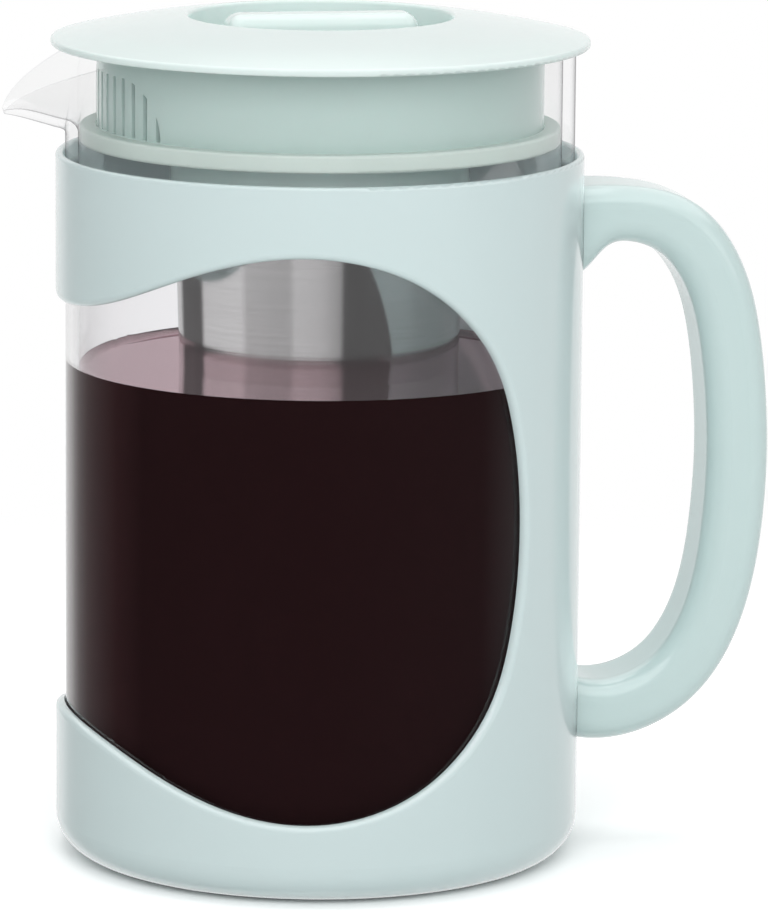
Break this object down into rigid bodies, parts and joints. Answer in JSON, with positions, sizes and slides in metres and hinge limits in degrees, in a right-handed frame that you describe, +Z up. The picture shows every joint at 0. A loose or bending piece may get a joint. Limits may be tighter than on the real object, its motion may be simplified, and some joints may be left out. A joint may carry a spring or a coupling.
{
  "type": "cold brew coffee maker",
  "caption": "Glass carafe in a windowed plastic holder with a D-handle, with a lid, seal ring and steel brew filter for steeping and pouring cold brew coffee.",
  "frame": {"origin": "on the jug's axis, in the plane that it stands on", "axes": "+Z up along the jug's axis, the spout towards -X and the handle towards +X"},
  "size_m": [0.182, 0.1262, 0.2001],
  "materials": {
    "holder_plastic": "glossy",
    "handle_plastic": "glossy",
    "screw_steel": "satin",
    "foot_rubber": "matte",
    "cushion_rubber": "matte",
    "carafe_glass": "clear",
    "lid_plastic": "satin",
    "seal_rubber": "satin",
    "collar_plastic": "satin",
    "filter_steel": "polished",
    "mesh_steel": "woven mesh"
  },
  "bodies": {
    "holder": {"holder_sleeve": "holder_plastic", "handle": "handle_plastic", "handle_screws": "screw_steel", "foot_ring": "foot_rubber", "carafe_cushion": "cushion_rubber"},
    "carafe": {"glass_carafe": "carafe_glass"},
    "seal": {"lid_gasket": "seal_rubber"},
    "lid": {"lid_cover": "lid_plastic"},
    "filter": {"filter_collar": "collar_plastic", "filter_band": "filter_steel", "filter_mesh": "mesh_steel", "filter_base": "filter_steel"}
  },
  "joints": [
    {"name": "carafe_lift", "type": "slide", "parent": "holder", "child": "carafe", "axis": [0, 0, 1], "range_m": [0, 0.17]},
    {"name": "lid_lift", "type": "slide", "parent": "carafe", "child": "seal", "axis": [0, 0, 1], "range_m": [0, 0.18]},
    {"name": "lid_turn", "type": "hinge", "parent": "seal", "child": "lid", "pos_m": [0, 0, 0.18], "axis": [0, 0, 1], "continuous": true},
    {"name": "filter_twist", "type": "hinge", "parent": "lid", "child": "filter", "pos_m": [0, 0, 0.17], "axis": [0, 0, 1], "range_deg": [0, 30]}
  ]
}
